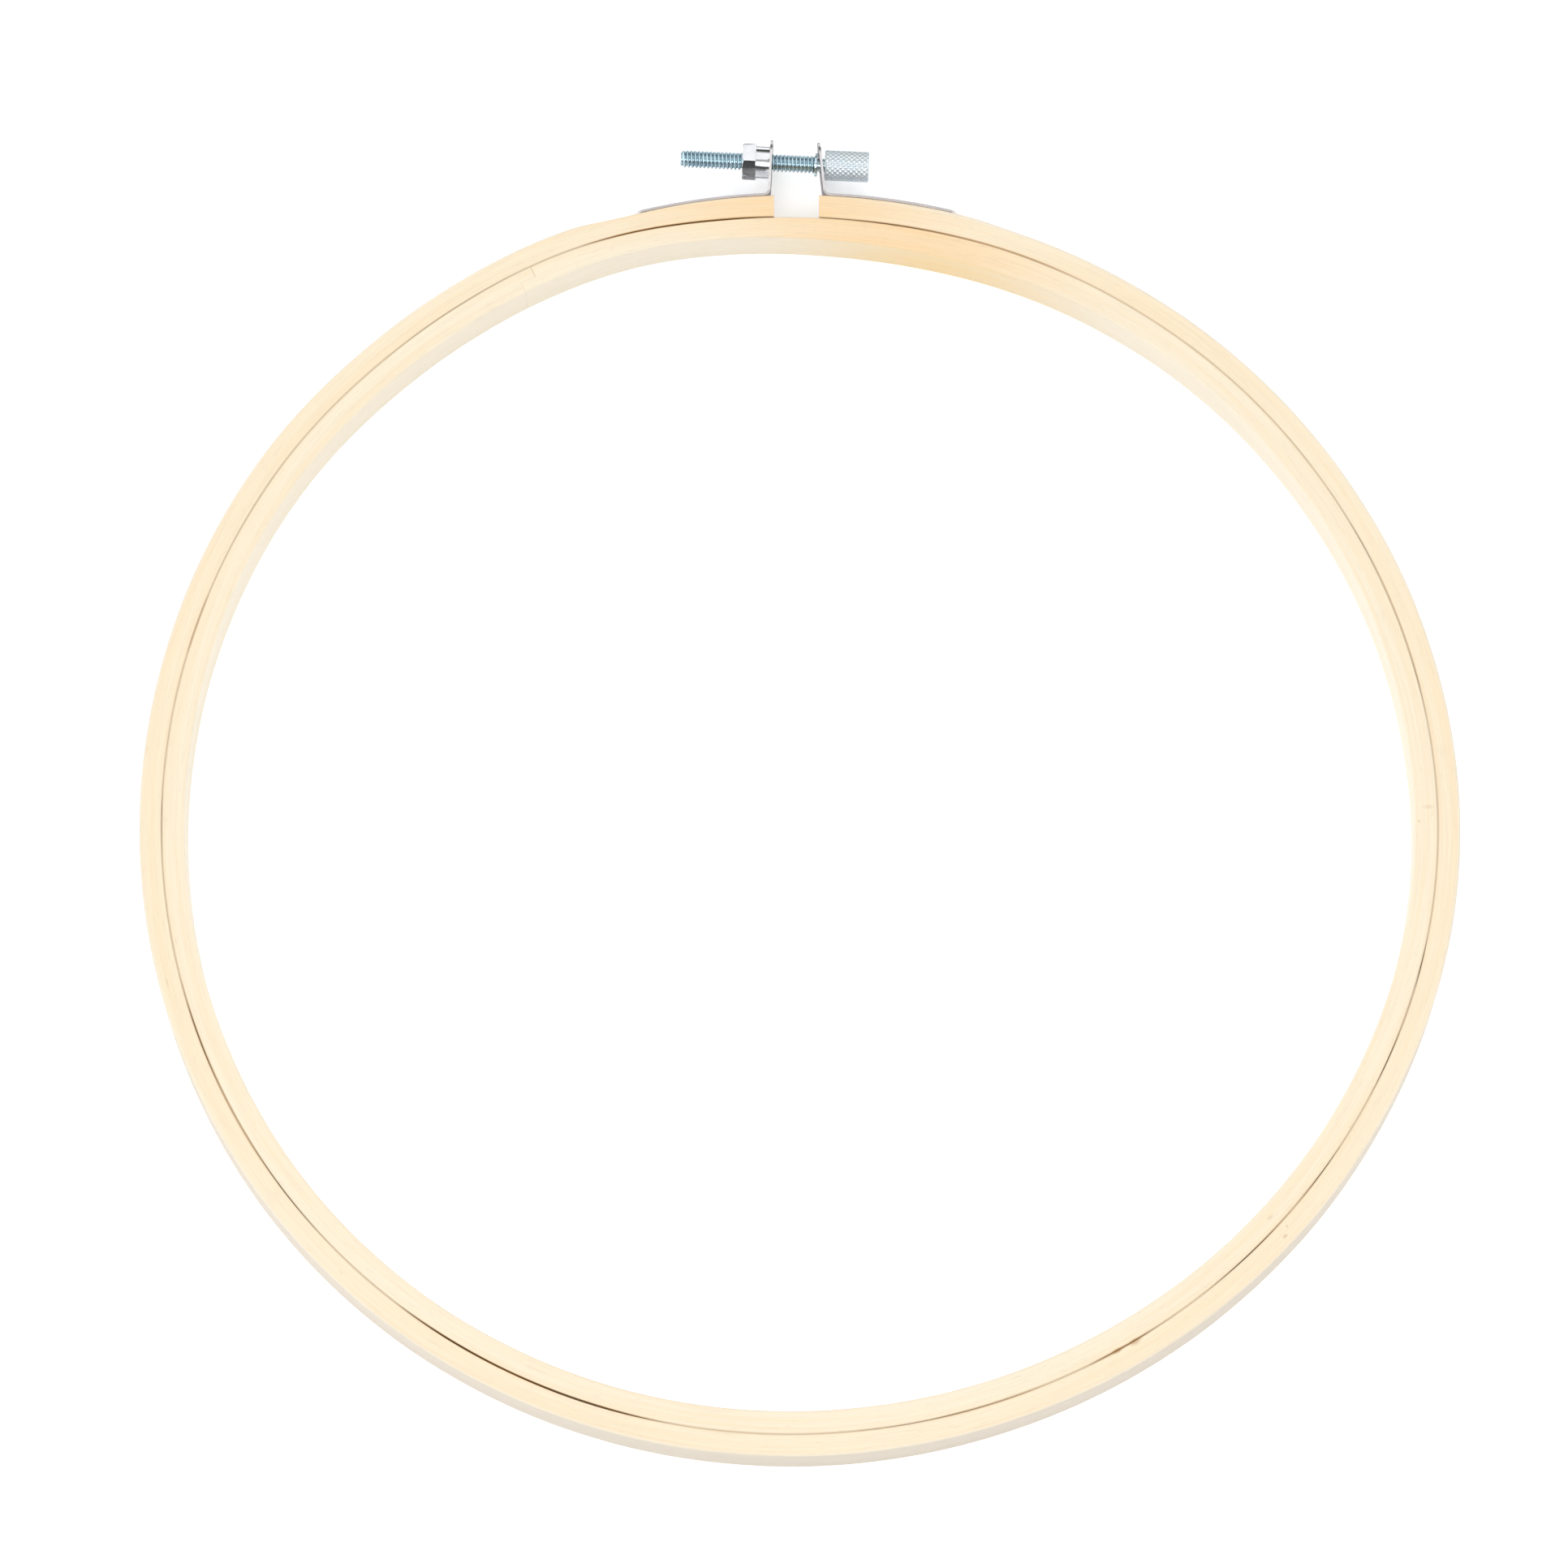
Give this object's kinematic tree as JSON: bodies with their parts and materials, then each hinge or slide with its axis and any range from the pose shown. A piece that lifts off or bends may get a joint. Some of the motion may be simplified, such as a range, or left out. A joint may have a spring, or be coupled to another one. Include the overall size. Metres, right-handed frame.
{
  "type": "embroidery hoop",
  "caption": "Flat wooden embroidery hoop: a plain inner ring in a split outer ring, drawn tight at its clamp by a knurled screw through a nut and bent metal brackets.",
  "frame": {"origin": "middle of the hoop's window, at half the rings' height", "axes": "+Z along the rings' axis, the way the inner ring lifts out; +Y from the window to the clamp; the screw's head is towards +X and its nut towards -X"},
  "size_m": [0.26, 0.2733, 0.0094],
  "materials": {
    "outer_wood": "sanded pale bamboo with fine lengthwise fibres",
    "inner_wood": "sanded pale bamboo with fine lengthwise fibres",
    "bracket_steel": "nickel-plated sheet, satin",
    "brad_steel": "nickel-plated, satin",
    "nut_steel": "nickel-plated, bright",
    "screw_steel": "zinc-plated, bluish, fine rolled thread and knurl"
  },
  "bodies": {
    "outer_hoop": {"outer_ring": "outer_wood", "nut_bracket": "bracket_steel", "nut_bracket_brads": "brad_steel", "clamp_nut": "nut_steel"},
    "moving_end": {"head_bracket": "bracket_steel", "head_bracket_brads": "brad_steel"},
    "screw": {"clamp_screw": "screw_steel", "retaining_collar": "screw_steel"},
    "inner_hoop": {"inner_ring": "inner_wood"}
  },
  "joints": [
    {"name": "inner_ring_lift", "type": "slide", "parent": "outer_hoop", "child": "inner_hoop", "axis": [0, 0, 1], "range_m": [0, 0.03]},
    {"name": "clamp_opening", "type": "slide", "parent": "outer_hoop", "child": "moving_end", "axis": [0.9988, -0.0488, 0], "range_m": [0, 0.00948], "deforming": ["outer_ring"]},
    {"name": "screw_turn", "type": "hinge", "parent": "moving_end", "child": "screw", "pos_m": [0, 0.13846, 0], "axis": [0.9988, -0.0488, 0], "range_deg": [0, 4320]}
  ],
  "couplings": [
    {"joint": "screw_turn", "follows": "clamp_opening", "rad_per_m": 7953.4}
  ]
}
